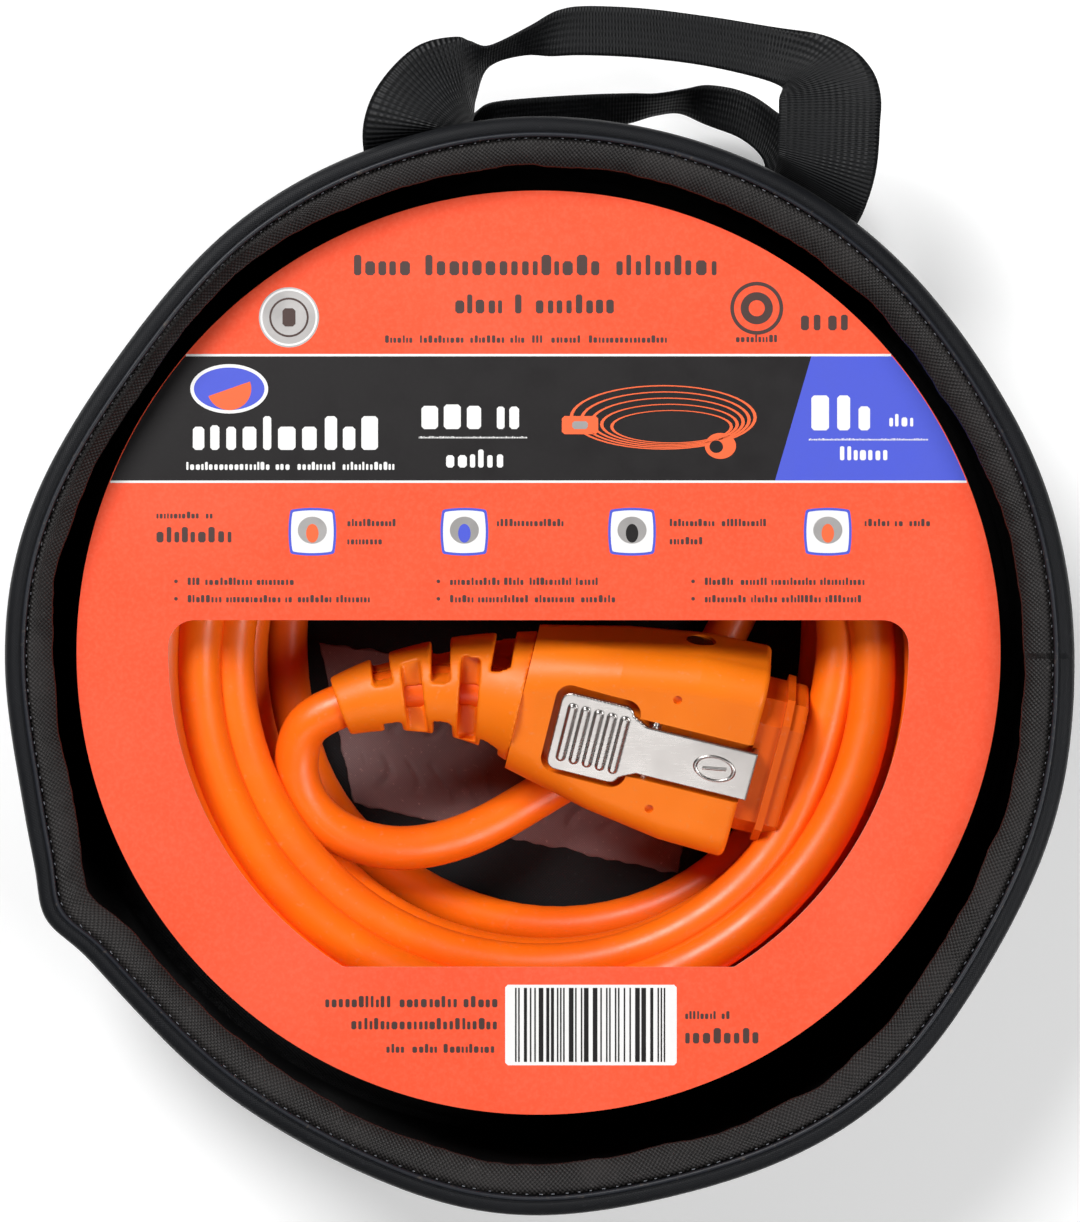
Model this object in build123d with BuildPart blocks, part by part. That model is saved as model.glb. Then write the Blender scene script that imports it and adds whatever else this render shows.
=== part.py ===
from build123d import *
import os
from math import cos, pi, radians, sin, tan

os.makedirs("parts", exist_ok=True)

# A 30 A shore power cord, coiled in its round fabric bag with a display card laid on top.
# The bag lies on its back: +Z points out of its mouth, and the origin is the middle of its underside.

# ---- driving dimensions, millimetres and degrees ----
cable_dia = 17.5
cord_length = 15240.0

bag_radius = 200.5          # outside of the fabric wall
bag_height = 110.0          # underside to the top of the rim piping
bag_turn = -9.0             # the bag's handle side is turned this far from +Y
floor_thickness = 2.0
wall_thickness = 3.0
floor_bead = 6.0            # diameter of the piping round the floor
rim_bead = 7.0              # diameter of the bound piping round the mouth
hoop_dia = 2.9              # spring steel hoop inside the rim piping
tape_width = 8.4            # seam tape that stands inwards from the rim
tape_thickness = 2.0
sewn_gap = 0.05

strap_width = 38.0
strap_thickness = 4.0
strap_spacing = 156.0       # between the middles of a handle's two legs
strap_stand_off = 5.5       # from the wall's outside to the handle's hinge line
front_strap_drop = 13.0     # the handles' middles, below the wall's top and above its foot
rear_strap_rise = 24.0
front_reach = 46.0          # how far each handle stands out beyond its hinge line
rear_reach = 28.0
front_shoulder = 20.0       # length of a handle's straight legs
rear_shoulder = 10.0
inner_shoulder_share = 0.8  # the grip's inner curve starts this share of the way up the legs
grip_width = 17.0
tab_patch_height = 40.0
tab_patch_thickness = 2.0
front_patch_drop = 3.0      # from the wall's top and from the floor piping to the sewn patches
rear_patch_rise = 2.0
soft_gap = 0.3

backing_thickness = 0.5
backing_outline = [(-76, -63), (57, -92), (72, -20), (-90, 3)]

card_margin = 9.3           # round the card, inside the seam tape
card_thickness = 0.8
card_z = 89.3
card_border = 35.3          # board left round the window
window_top = 12.5
window_bottom = -121.0
window_top_fillet = 10.0
window_bottom_fillet = 3.0

coil_inner = 113.0
coil_margin = 6.1           # round the coil, inside the seam tape, when it is lifted out
coil_top = 73.0
coil_corner = 5.0
coil_x, coil_y = 3.2, -4.0  # the coil lies a little off the bag's middle
crown_set_in = 10.0         # one last turn lies on top, inside the coil's edge, and carries the card
crown_width = 23.0
coil_step = 15.0            # room under the inner edge for the lowest turn, a tube of its own

con_x, con_y, con_z = 49.0, -31.2, 55.0    # a point on the connector's axis
con_yaw = -13.8
con_roll = 20.0
con_front = 34.5            # stations along the connector's axis from that point
con_rear = -57.0
con_waist = -22.0
con_shoulder = 8.0
con_width = 80.0
con_height = 50.0
con_waist_width = 68.0
con_tail_width = 56.0
con_tail_height = 46.0
con_edge = 12.0
con_front_edge = 2.5
con_wall = 3.5
mouth_cut = 5.0             # cuts run this far past the housing
cavity_height = 31.0
cavity_corner = 8.0
lens_place = (6.0, 6.0)     # along the connector's edge face, and down from its middle
lens_dia = 11.6
lens_depth = 3.0
lens_rise = 2.1
lens_stem_dia = 5.8
lens_stem_length = 4.0
dimple_dia = 3.5
dimple_depth = 2.0
dimple_places = [(1.5, 23.5), (1.5, -23.5)]

nose_length = 18.0
nose_width = 57.0
nose_height = 40.0
nose_chamfer = 8.0
nose_edge = 2.0
carrier_depth = 30.0
contact_width = 13.6
contact_thickness = 4.6
contact_spacing = 16.5
contact_gap = 0.1
contact_tail_length = 8.0
contact_screw_dia = 3.9
contact_head_dia = 6.8
contact_head_height = 2.4
gasket_width = 2.0
gasket_thickness = 3.0
gasket_set_back = 6.0       # from the nose's tip

grip_length = 29.0          # lever: pressed end, then a narrower tongue with a hook
lever_back = -42.0
lever_width = 32.6
tongue_width = 20.0
lever_plate = 1.8
lever_proud = 1.2
lever_gap = 2.4
recess_depth = 7.0
pivot_a = -4.0
pivot_depth = 3.6
pivot_pin_dia = 3.0
pin_length = 30.0
running_gap = 0.05
ear_thickness = 2.0
ear_length = 5.0
ear_edge = 2.4              # metal left beyond the pin
hook_drop = 4.0
hook_thickness = 1.8
hook_gap = 0.8              # between the front face of the housing and the hook
rib_count = 5
rib_pitch = 5.2
rib_width = 2.6
rib_height = 0.9
rib_margin = 4.5            # from a rib's end to the lever's edge
first_rib = 5.0
spring_wire = 0.9

clamp_width = 36.0
clamp_height = 24.0
clamp_length = 6.0
clamp_screw_dia = 3.5
clamp_screw_spacing = 27.0
clamp_head_dia = 5.8
clamp_head_height = 2.0
screw_gap = 0.05
conductor_dia = 4.2
conductor_spacing = 5.0     # between the three conductors where they leave the jacket
sheath_length = 10.0        # jacket inside the housing

boot_turn = 34.0
boot_length = 73.0
boot_root_dia = 53.0
boot_lip = 3.25             # rubber round the cable at the boot's tip
boot_taper = 0.8
boot_slot = 7.5
boot_first_slot = 10.0
boot_slot_pitch = 11.0
boot_slot_count = 5
boot_web = 16.0             # left between the two cuts of a slot

plug_x, plug_y, plug_z = 46.0, 54.0, 32.0  # rear end of the plug's axis
plug_shell_dia = 50.0
plug_neck_dia = 40.0
plug_nut_dia = 37.0
plug_wall = 3.0
ring_wall = 4.0
nut_length = 20.0
nut_back = 8.0              # solid end of the gland nut
nut_wall = 5.0
nut_chamfer = 3.0
shell_length = 56.0
neck_length = 12.0
neck_slope = 14.0           # from the neck out to the full width
neck_end_wall = 6.0
carrier_thickness = 12.0
carrier_flange_gap = 0.5
plug_clamp_width = 25.0
plug_clamp_height = 22.0
plug_sheath_length = 14.0   # jacket past the gland nut
face_seal_thickness = 2.0
face_seal_set_in = 1.0
face_seal_width = 4.0
terminal_screw_dia = 5.2
terminal_screw_height = 3.0
terminal_screw_turn = 50.0  # round from its blade
ring_length = 34.0
ring_overlap = 20.0         # of the locking ring on the shell
ring_rib_dia = 2.4
ring_rib_count = 24
blade_length = 20.0
blade_width = 8.0
blade_thickness = 1.8
blade_circle = 12.5

# ---- sizes that follow ----
cable_r = cable_dia / 2
v_dir = Vector(cos(radians(bag_turn)), sin(radians(bag_turn)), 0)
u_dir = Vector(-sin(radians(bag_turn)), cos(radians(bag_turn)), 0)
bead_ring = bag_radius - wall_thickness / 2
rim_z = bag_height - rim_bead / 2
wall_top = bag_height - rim_bead
hinge_u = bag_radius + strap_stand_off
front_strap_z = wall_top - front_strap_drop
rear_strap_z = floor_bead + rear_strap_rise
mouth_radius = bead_ring - rim_bead / 2 - tape_width
card_radius = mouth_radius - card_margin
window_radius = card_radius - card_border
coil_outer = mouth_radius - coil_margin
crown_outer = coil_outer - crown_set_in
crown_inner = crown_outer - crown_width
boot_tip_dia = cable_dia + 2 * boot_lip

a_dir = Vector(cos(radians(con_yaw)), sin(radians(con_yaw)), 0)
side_dir = Vector(-sin(radians(con_yaw)), cos(radians(con_yaw)), 0)
b_dir = side_dir * cos(radians(con_roll)) + Vector(0, 0, sin(radians(con_roll)))
c_dir = side_dir * -sin(radians(con_roll)) + Vector(0, 0, cos(radians(con_roll)))
con_origin = Vector(con_x, con_y, con_z)


def con_point(a, b, c):
    """A point given along the connector, across it, and out of its upper lever face."""
    return con_origin + a_dir * a + b_dir * b + c_dir * c


def con_station(a, b=0, c=0):
    """The plane across the connector at one station: local x is across, local y is up."""
    return Plane(con_point(a, b, c), x_dir=b_dir, z_dir=a_dir)


def con_layer(c, a=0, b=0):
    """A plane parallel to the lever faces: local x runs towards the nose."""
    return Plane(con_point(a, b, c), x_dir=a_dir, z_dir=c_dir)


def con_edge_face(b):
    """A plane parallel to the housing's edge faces: local x runs towards the nose."""
    return Plane(con_point(0, b, 0), x_dir=a_dir, z_dir=b_dir)


def con_side(b):
    """The lengthwise upright plane: local x runs towards the nose, local y out of the lever face."""
    return Plane(con_point(0, b, 0), x_dir=a_dir, z_dir=b_dir * -1)


def boot_station(s):
    """The plane across the bent boot, a distance s along its middle line from the housing."""
    bend = boot_length / radians(boot_turn)
    turned = s / bend
    out = side_dir * cos(turned) + a_dir * -sin(turned)
    start = con_origin + a_dir * con_rear
    middle = start - side_dir * bend + out * bend
    along = a_dir * -cos(turned) + side_dir * -sin(turned)
    across = out * cos(radians(con_roll)) + Vector(0, 0, sin(radians(con_roll)))
    return Plane(middle, x_dir=across, z_dir=along)


def bag_plane(z):
    """A level plane in the bag's own directions: local y points to the handle side."""
    return Plane((0, 0, z), x_dir=v_dir, z_dir=(0, 0, 1))


def plug_plane(t):
    """The plane across the plug, a distance t forward of its rear end."""
    return Plane((plug_x - t, plug_y, plug_z), x_dir=(0, 1, 0), z_dir=(-1, 0, 0))


plug_profile = Plane((plug_x, plug_y, plug_z), x_dir=(-1, 0, 0), z_dir=(0, 1, 0))
plug_axis = Axis((plug_x, plug_y, plug_z), (-1, 0, 0))
up_profile = Plane.XZ


def finish(piece, name):
    piece.part.label = name
    export_step(piece.part, "parts/" + name + ".step")


# ---- the bag: floor, wall, piping, hoop and seam tape ----
with BuildPart() as bag_floor:
    Cylinder(bead_ring - floor_bead / 2 - sewn_gap, floor_thickness,
             align=(Align.CENTER, Align.CENTER, Align.MIN))
finish(bag_floor, "bag_floor")

with BuildPart() as bag_wall:
    with BuildSketch(Plane.XY.offset(floor_bead)):
        Circle(bag_radius)
        Circle(bag_radius - wall_thickness, mode=Mode.SUBTRACT)
    extrude(amount=wall_top - floor_bead)
finish(bag_wall, "bag_wall")

with BuildPart() as floor_piping:
    with BuildSketch(up_profile):
        with Locations((bead_ring, floor_bead / 2)):
            Circle(floor_bead / 2)
    revolve(axis=Axis.Z)
finish(floor_piping, "floor_piping")

with BuildPart() as rim_piping:
    with BuildSketch(up_profile):
        with Locations((bead_ring, rim_z)):
            Circle(rim_bead / 2)
            Circle(hoop_dia / 2 + sewn_gap, mode=Mode.SUBTRACT)
    revolve(axis=Axis.Z)
finish(rim_piping, "rim_piping")

with BuildPart() as rim_hoop:
    with BuildSketch(up_profile):
        with Locations((bead_ring, rim_z)):
            Circle(hoop_dia / 2)
    revolve(axis=Axis.Z)
finish(rim_hoop, "rim_hoop")

with BuildPart() as rim_tape:
    with BuildSketch(Plane.XY.offset(rim_z - tape_thickness / 2)):
        Circle(bead_ring - rim_bead / 2 - sewn_gap)
        Circle(mouth_radius, mode=Mode.SUBTRACT)
    extrude(amount=tape_thickness)
finish(rim_tape, "rim_tape")

with BuildPart() as embroidery_backing:
    with BuildSketch(Plane.XY.offset(floor_thickness)):
        with BuildLine():
            Polyline(*backing_outline, close=True)
        make_face()
    extrude(amount=backing_thickness)
finish(embroidery_backing, "embroidery_backing")


# ---- the two webbing handles and the sewn tabs that they hang on ----
def make_tabs(strap_z, patch_low):
    leg = strap_spacing / 2
    with BuildPart() as tabs:
        with BuildSketch(bag_plane(strap_z - strap_thickness / 2)):
            with Locations((-leg, hinge_u / 2), (leg, hinge_u / 2)):
                Rectangle(strap_width, hinge_u - strap_thickness - 2 * soft_gap)
        extrude(amount=strap_thickness)
        with BuildSketch(bag_plane(patch_low)):
            with Locations((-leg, hinge_u / 2), (leg, hinge_u / 2)):
                Rectangle(strap_width, hinge_u)
            Circle(bag_radius + tab_patch_thickness, mode=Mode.INTERSECT)
        extrude(amount=tab_patch_height)
        Cylinder(bag_radius + sewn_gap, bag_height * 2, mode=Mode.SUBTRACT)
    return tabs


def make_handle(strap_z, reach, shoulder):
    leg = strap_spacing / 2
    out = leg + strap_width / 2
    inn = leg - strap_width / 2
    top = hinge_u + reach
    inner_top = hinge_u + shoulder * inner_shoulder_share
    with BuildPart() as handle:
        with BuildSketch(bag_plane(strap_z - strap_thickness / 2)):
            with BuildLine():
                Line((-out, hinge_u), (-out, hinge_u + shoulder))
                ThreePointArc((-out, hinge_u + shoulder), (0, top), (out, hinge_u + shoulder))
                Line((out, hinge_u + shoulder), (out, hinge_u))
                Line((out, hinge_u), (inn, hinge_u))
                Line((inn, hinge_u), (inn, inner_top))
                ThreePointArc((inn, inner_top), (0, top - grip_width), (-inn, inner_top))
                Line((-inn, inner_top), (-inn, hinge_u))
                Line((-inn, hinge_u), (-out, hinge_u))
            make_face()
        extrude(amount=strap_thickness)
        for side in (-1, 1):
            root = u_dir * hinge_u + v_dir * (side * leg - strap_width / 2) + Vector(0, 0, strap_z)
            with BuildSketch(Plane(root, x_dir=u_dir, z_dir=v_dir)):
                Circle(strap_thickness / 2)
            extrude(amount=strap_width)
    return handle


front_tabs = make_tabs(front_strap_z, wall_top - tab_patch_height - front_patch_drop)
finish(front_tabs, "front_handle_tabs")
rear_tabs = make_tabs(rear_strap_z, floor_bead + rear_patch_rise)
finish(rear_tabs, "rear_handle_tabs")
front_handle = make_handle(front_strap_z, front_reach, front_shoulder)
finish(front_handle, "front_handle")
rear_handle = make_handle(rear_strap_z, rear_reach, rear_shoulder)
finish(rear_handle, "rear_handle")


# ---- the display card, a board disc with a D-shaped window ----
with BuildPart() as display_card:
    with BuildSketch(Plane.XY.offset(card_z)):
        Circle(card_radius)
        with BuildSketch(mode=Mode.PRIVATE) as window:
            Circle(window_radius)
            with Locations((0, (window_top + window_bottom) / 2)):
                Rectangle(3 * window_radius, window_top - window_bottom, mode=Mode.INTERSECT)
            fillet(window.vertices().group_by(Axis.Y)[-1], window_top_fillet)
            fillet(window.vertices().group_by(Axis.Y)[0], window_bottom_fillet)
        add(window.sketch, mode=Mode.SUBTRACT)
    extrude(amount=card_thickness)
finish(display_card, "display_card")


# ---- the coil's outer shape: stacked turns, with room under its inner edge for the lowest turn ----
with BuildPart() as cable_coil:
    coil_low = floor_thickness + soft_gap
    step_top = coil_low + backing_thickness + cable_dia + soft_gap
    with BuildSketch(Plane.XY.offset(coil_low)):
        with Locations((coil_x, coil_y)):
            Circle(coil_outer)
            Circle(coil_inner + coil_step, mode=Mode.SUBTRACT)
    extrude(amount=coil_top - coil_low)
    with BuildSketch(Plane.XY.offset(step_top)):
        with Locations((coil_x, coil_y)):
            Circle(coil_outer)
            Circle(coil_inner, mode=Mode.SUBTRACT)
    extrude(amount=coil_top - step_top)
    fillet(cable_coil.edges().group_by(Axis.Z)[-1], coil_corner)
    with BuildSketch(Plane.XY.offset(coil_top)):
        with Locations((coil_x, coil_y)):
            Circle(crown_outer)
            Circle(crown_inner, mode=Mode.SUBTRACT)
    extrude(amount=card_z - soft_gap - coil_top)
    fillet(cable_coil.edges().group_by(Axis.Z)[-1], coil_corner)
finish(cable_coil, "cable_coil")


# ---- the cable's free stretches: round tubes along straight runs joined by tangent arcs ----
def cable_tube(name, points):
    """Sweep the cable's section along hand-chosen points, each arc as large as its runs allow."""
    p = [Vector(*q) for q in points]
    radii = []
    for i in range(1, len(p) - 1):
        before = p[i] - p[i - 1]
        after = p[i + 1] - p[i]
        turn = radians(before.get_angle(after))
        radii.append(0.45 * min(before.length, after.length) / tan(turn / 2))
    with BuildPart() as tube:
        with BuildLine() as path:
            FilletPolyline(*p, radius=radii)
        with BuildSketch(Plane(p[0], z_dir=p[1] - p[0])):
            Circle(cable_r)
        sweep(path=path.line)
    run = sum(edge.length for edge in path.edges())
    print(name, "arc radii", [round(r, 1) for r in radii], "length", round(run, 1))
    print(name, "volume over section x length", round(tube.part.volume / (pi * cable_r ** 2 * run), 5))
    finish(tube, name)
    return run


boot_tip = boot_station(boot_length).origin
boot_ahead = boot_tip + boot_station(boot_length).z_dir * 12
floor_cable_z = floor_thickness + backing_thickness + soft_gap + cable_r
connector_route = [
    (boot_tip.X, boot_tip.Y, boot_tip.Z), (boot_ahead.X, boot_ahead.Y, boot_ahead.Z),
    (-95.5, -36, 51), (-96.5, -51, 48), (-89, -66, 45), (-74, -76, 42), (-52, -80, 38), (-26, -74, 31),
    (1, -58.5, 20), (34, -39, 12), (62, -16, floor_cable_z), (81.5, 14, floor_cable_z),
    (90, 46, floor_cable_z), (80.5, 78, floor_cable_z), (55.5, 101.5, floor_cable_z),
    (22, 112, floor_cable_z), (-34, 114, floor_cable_z), (-75, 86, floor_cable_z),
    (-99, 48, floor_cable_z), (-105, -6, floor_cable_z), (-92, -61, floor_cable_z),
    (-51, -100, floor_cable_z), (5, -117, floor_cable_z), (62, -103, floor_cable_z),
    (103, -62, floor_cable_z), (117, -6, floor_cable_z), (114, 46, floor_cable_z), (92, 94, floor_cable_z),
]
plug_route = [
    (plug_x, plug_y, plug_z), (plug_x + 31, plug_y, plug_z), (plug_x + 60, plug_y - 16, 45),
    (plug_x + 77, plug_y - 43, 58),
]
connector_run = cable_tube("cable_to_connector", connector_route)
plug_run = cable_tube("cable_to_plug", plug_route)
print("turned length left for the coil, mm", round(cord_length - connector_run - plug_run))


# ---- the connector's housing: a moulded shell with a lever recess in each broad face ----
face_c = con_height / 2
recess_floor = face_c - recess_depth
pivot_c = face_c - pivot_depth
lens_seat = con_width / 2 - 1 - lens_depth
hook_middle = con_front + hook_gap + hook_thickness / 2
with BuildPart() as connector_shell:
    for a, width, height, corner in ((con_rear, con_tail_width, con_tail_height, 1.5 * con_edge),
                                     (con_waist, con_waist_width, con_height, con_edge),
                                     (con_shoulder, con_width - 2, con_height, con_edge),
                                     (con_front, con_width, con_height, con_edge)):
        with BuildSketch(con_station(a)):
            RectangleRounded(width, height, corner)
    loft(ruled=True)
    front_rim = connector_shell.faces().sort_by(Axis(con_point(0, 0, 0), a_dir))[-1]
    fillet(front_rim.edges(), con_front_edge)
    with BuildSketch(con_station(con_rear + con_wall)):
        RectangleRounded(con_tail_width - 2 * con_wall - cavity_corner, cavity_height, cavity_corner)
    with BuildSketch(con_station(con_front - carrier_depth)):
        RectangleRounded(nose_width - 2 * con_wall, cavity_height, cavity_corner / 2)
    loft(ruled=True, mode=Mode.SUBTRACT)
    with BuildSketch(con_station(con_front - carrier_depth)):
        RectangleRounded(nose_width - 2 * con_wall, cavity_height, cavity_corner / 2)
    extrude(amount=carrier_depth + 1, mode=Mode.SUBTRACT)
    with BuildSketch(con_station(con_rear)):
        Circle(cable_r + sewn_gap)
    extrude(amount=con_wall, mode=Mode.SUBTRACT)
    for face in (1, -1):
        with BuildSketch(con_layer(face * recess_floor)):
            grip_room = grip_length + 2 * lever_gap
            with Locations((lever_back - lever_gap + grip_room / 2, 0)):
                RectangleRounded(grip_room, lever_width + 2 * lever_gap, 6)
            tongue_room = con_front + mouth_cut - lever_back - grip_length
            with Locations((con_front + mouth_cut - tongue_room / 2, 0)):
                Rectangle(tongue_room, tongue_width + 2 * lever_gap)
        extrude(amount=face * (recess_depth + mouth_cut), mode=Mode.SUBTRACT)
        with BuildSketch(con_side(0)):
            with Locations((pivot_a, face * pivot_c)):
                Circle(pivot_pin_dia / 2)
        extrude(amount=pin_length / 2, both=True, mode=Mode.SUBTRACT)
        with BuildSketch(con_layer(face * (face_c - dimple_depth))):
            with Locations(*dimple_places):
                Circle(dimple_dia / 2)
        extrude(amount=face * mouth_cut, mode=Mode.SUBTRACT)
    with BuildSketch(con_edge_face(lens_seat)):
        with Locations(lens_place):
            Circle(lens_stem_dia / 2 + contact_gap)
    extrude(amount=-lens_stem_length - mouth_cut, mode=Mode.SUBTRACT)
    with BuildSketch(con_edge_face(lens_seat)):
        with Locations(lens_place):
            Circle(lens_dia / 2)
    extrude(amount=lens_depth + mouth_cut, mode=Mode.SUBTRACT)
finish(connector_shell, "connector_shell")

with BuildPart() as indicator_lens:
    with BuildSketch(con_edge_face(lens_seat)):
        with Locations(lens_place):
            Circle(lens_dia / 2 - sewn_gap)
    extrude(amount=lens_rise)
    fillet(indicator_lens.edges().group_by(Axis((0, 0, 0), b_dir))[-1], lens_rise / 3)
    with BuildSketch(con_edge_face(lens_seat)):
        with Locations(lens_place):
            Circle(lens_stem_dia / 2)
    extrude(amount=-lens_stem_length)
finish(indicator_lens, "indicator_lens")


# ---- the nose: contact carrier, contacts, their screws and the face gasket ----
carrier_width = nose_width - 2 * con_wall - 2 * contact_gap
slot_places = [(-contact_spacing, 0), (0, 0), (contact_spacing, 0)]
with BuildPart() as connector_nose:
    with BuildSketch(con_station(con_front)):
        Rectangle(nose_width, nose_height)
        chamfer(vertices(), nose_chamfer)
    extrude(amount=nose_length)
    tip = connector_nose.faces().sort_by(Axis(con_point(0, 0, 0), a_dir))[-1]
    fillet(tip.edges(), nose_edge)
    with BuildSketch(con_station(con_front)):
        RectangleRounded(carrier_width, cavity_height - 2 * contact_gap, cavity_corner / 2 - contact_gap)
    extrude(amount=-carrier_depth + 2)
    with BuildSketch(con_station(con_front - carrier_depth)):
        with Locations(*slot_places):
            Rectangle(contact_width + 2 * contact_gap, contact_thickness + 2 * contact_gap)
    extrude(amount=carrier_depth + nose_length + 1, mode=Mode.SUBTRACT)
finish(connector_nose, "connector_nose")

contact_tail = con_front - carrier_depth - contact_tail_length
screw_station = contact_tail + contact_tail_length / 2
screw_places = [(screw_station, b) for b, c in slot_places]
with BuildPart() as connector_contacts:
    with BuildSketch(con_station(contact_tail)):
        with Locations(*slot_places):
            Rectangle(contact_width, contact_thickness)
    extrude(amount=carrier_depth + nose_length + 2)
    with BuildSketch(con_layer(0)):
        with Locations(*screw_places):
            Circle(contact_screw_dia / 2 + screw_gap)
    extrude(amount=contact_thickness, both=True, mode=Mode.SUBTRACT)
finish(connector_contacts, "connector_contacts")

with BuildPart() as contact_screws:
    with BuildSketch(con_layer(-contact_thickness / 2)):
        with Locations(*screw_places):
            Circle(contact_screw_dia / 2)
    extrude(amount=contact_thickness)
    with BuildSketch(con_layer(contact_thickness / 2)):
        with Locations(*screw_places):
            Circle(contact_head_dia / 2)
    extrude(amount=contact_head_height)
finish(contact_screws, "contact_screws")

with BuildPart() as nose_gasket:
    with BuildSketch(con_station(con_front + nose_length - gasket_set_back)):
        Rectangle(nose_width + 2 * gasket_width, nose_height + 2 * gasket_width)
        chamfer(vertices(), nose_chamfer)
        with BuildSketch(mode=Mode.PRIVATE) as nose_hole:
            Rectangle(nose_width, nose_height)
            chamfer(nose_hole.vertices(), nose_chamfer)
        add(nose_hole.sketch, mode=Mode.SUBTRACT)
    extrude(amount=-gasket_thickness)
finish(nose_gasket, "nose_gasket")


# ---- the two stainless levers, their pins and return springs ----
def make_lever(face):
    """A pressed plate: ribbed grip, tongue with a hook over the front edge, and two pivot ears."""
    under = face * (face_c + lever_proud - lever_plate)
    tongue_end = hook_middle + hook_thickness / 2
    with BuildPart() as lever:
        with BuildSketch(con_layer(under)):
            with Locations((lever_back + grip_length / 2, 0)):
                RectangleRounded(grip_length, lever_width, 4)
            with BuildLine():
                shoulder = lever_back + grip_length
                Polyline((shoulder - 4, lever_width / 2 - 1), (shoulder + 6, tongue_width / 2),
                         (tongue_end, tongue_width / 2), (tongue_end, -tongue_width / 2),
                         (shoulder + 6, -tongue_width / 2), (shoulder - 4, 1 - lever_width / 2),
                         close=True)
            make_face()
        extrude(amount=face * lever_plate)
        with BuildSketch(con_layer(under + face * lever_plate)):
            for rib in range(rib_count):
                with Locations((lever_back + first_rib + rib * rib_pitch, 0)):
                    SlotOverall(lever_width - 2 * rib_margin, rib_width, rotation=90)
        extrude(amount=face * rib_height)
        with BuildSketch(con_layer(under)):
            with Locations((hook_middle, 0)):
                Rectangle(hook_thickness, tongue_width)
        extrude(amount=-face * hook_drop)
        with BuildSketch(con_layer(under)):
            ear_b = tongue_width / 2 - ear_thickness / 2
            with Locations((pivot_a, ear_b), (pivot_a, -ear_b)):
                Rectangle(ear_length, ear_thickness)
        extrude(amount=-face * (abs(under) - pivot_c + ear_edge))
        with BuildSketch(con_side(0)):
            with Locations((pivot_a, face * pivot_c)):
                Circle(pivot_pin_dia / 2 + running_gap)
        extrude(amount=tongue_width, both=True, mode=Mode.SUBTRACT)
    return lever


def make_pin(face):
    with BuildPart() as pin:
        with BuildSketch(con_side(0)):
            with Locations((pivot_a, face * pivot_c)):
                Circle(pivot_pin_dia / 2)
        extrude(amount=pin_length / 2, both=True)
    return pin


def make_spring(face):
    with BuildPart() as spring:
        with BuildSketch(con_side(0)):
            with Locations((pivot_a, face * pivot_c)):
                Circle(pivot_pin_dia / 2 + spring_wire)
                Circle(pivot_pin_dia / 2 + sewn_gap, mode=Mode.SUBTRACT)
        extrude(amount=tongue_width / 2 - 2 * ear_thickness, both=True)
    return spring


for face, name in ((1, "upper"), (-1, "lower")):
    finish(make_lever(face), name + "_lever")
    finish(make_pin(face), name + "_lever_pin")
    finish(make_spring(face), name + "_lever_spring")


# ---- inside the housing: cord clamp, its screws, and the three conductors ----
sheath_end = con_rear + sheath_length
clamp_middle = con_rear + con_wall + clamp_length / 2
clamp_screw_places = [(clamp_middle, side * clamp_screw_spacing / 2) for side in (-1, 1)]
clamp_top = clamp_height / 2
with BuildPart() as connector_cord_clamp:
    with BuildSketch(con_station(con_rear + con_wall)):
        Rectangle(clamp_width, clamp_height)
        Circle(cable_r + sewn_gap, mode=Mode.SUBTRACT)
    extrude(amount=clamp_length)
    with BuildSketch(con_layer(clamp_top)):
        with Locations(*clamp_screw_places):
            Circle(clamp_screw_dia / 2 + screw_gap)
    extrude(amount=-clamp_height, mode=Mode.SUBTRACT)
finish(connector_cord_clamp, "connector_cord_clamp")

with BuildPart() as connector_clamp_screws:
    with BuildSketch(con_layer(clamp_top)):
        with Locations(*clamp_screw_places):
            Circle(clamp_screw_dia / 2)
    extrude(amount=-clamp_height)
    with BuildSketch(con_layer(clamp_top)):
        with Locations(*clamp_screw_places):
            Circle(clamp_head_dia / 2)
    extrude(amount=clamp_head_height)
finish(connector_clamp_screws, "connector_clamp_screws")

with BuildPart() as connector_conductors:
    for b in (-1, 0, 1):
        start = con_point(sheath_end + 0.5, b * conductor_spacing, 0)
        end = con_point(contact_tail, b * contact_spacing, 0)
        with BuildSketch(Plane(start, z_dir=end - start)):
            Circle(conductor_dia / 2)
        extrude(amount=(end - start).length - 0.8)
finish(connector_conductors, "connector_conductors")


# ---- the boot: a tapered bend relief, slotted alternately on its sides and faces ----
with BuildPart() as connector_boot:
    sections = 6
    for i in range(sections):
        s = boot_length * i / (sections - 1)
        dia = boot_root_dia + (boot_tip_dia - boot_root_dia) * (i / (sections - 1)) ** boot_taper
        with BuildSketch(boot_station(s)):
            Circle(dia / 2)
    loft()
    with BuildLine() as boot_path:
        ThreePointArc(boot_station(0).origin, boot_station(boot_length / 2).origin, boot_tip)
    with BuildSketch(boot_station(0)):
        Circle(cable_r + sewn_gap)
    sweep(path=boot_path.line, mode=Mode.SUBTRACT)
    reach = boot_root_dia * 0.65
    for i in range(boot_slot_count):
        turned = radians(90 * (i % 2))
        out = (boot_web + reach) / 2
        with BuildSketch(boot_station(boot_first_slot + i * boot_slot_pitch)):
            with Locations(*[(side * out * cos(turned), side * out * sin(turned)) for side in (-1, 1)]):
                Rectangle(reach, reach)
        extrude(amount=boot_slot / 2, both=True, mode=Mode.SUBTRACT)
finish(connector_boot, "connector_boot")

with BuildPart() as cable_in_connector:
    with BuildLine() as held_path:
        Line(con_point(sheath_end, 0, 0), boot_station(0).origin)
        ThreePointArc(boot_station(0).origin, boot_station(boot_length / 2).origin, boot_tip)
    with BuildSketch(Plane(con_point(sheath_end, 0, 0), z_dir=a_dir * -1)):
        Circle(cable_r)
    sweep(path=held_path.line)
finish(cable_in_connector, "cable_in_connector")


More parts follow.
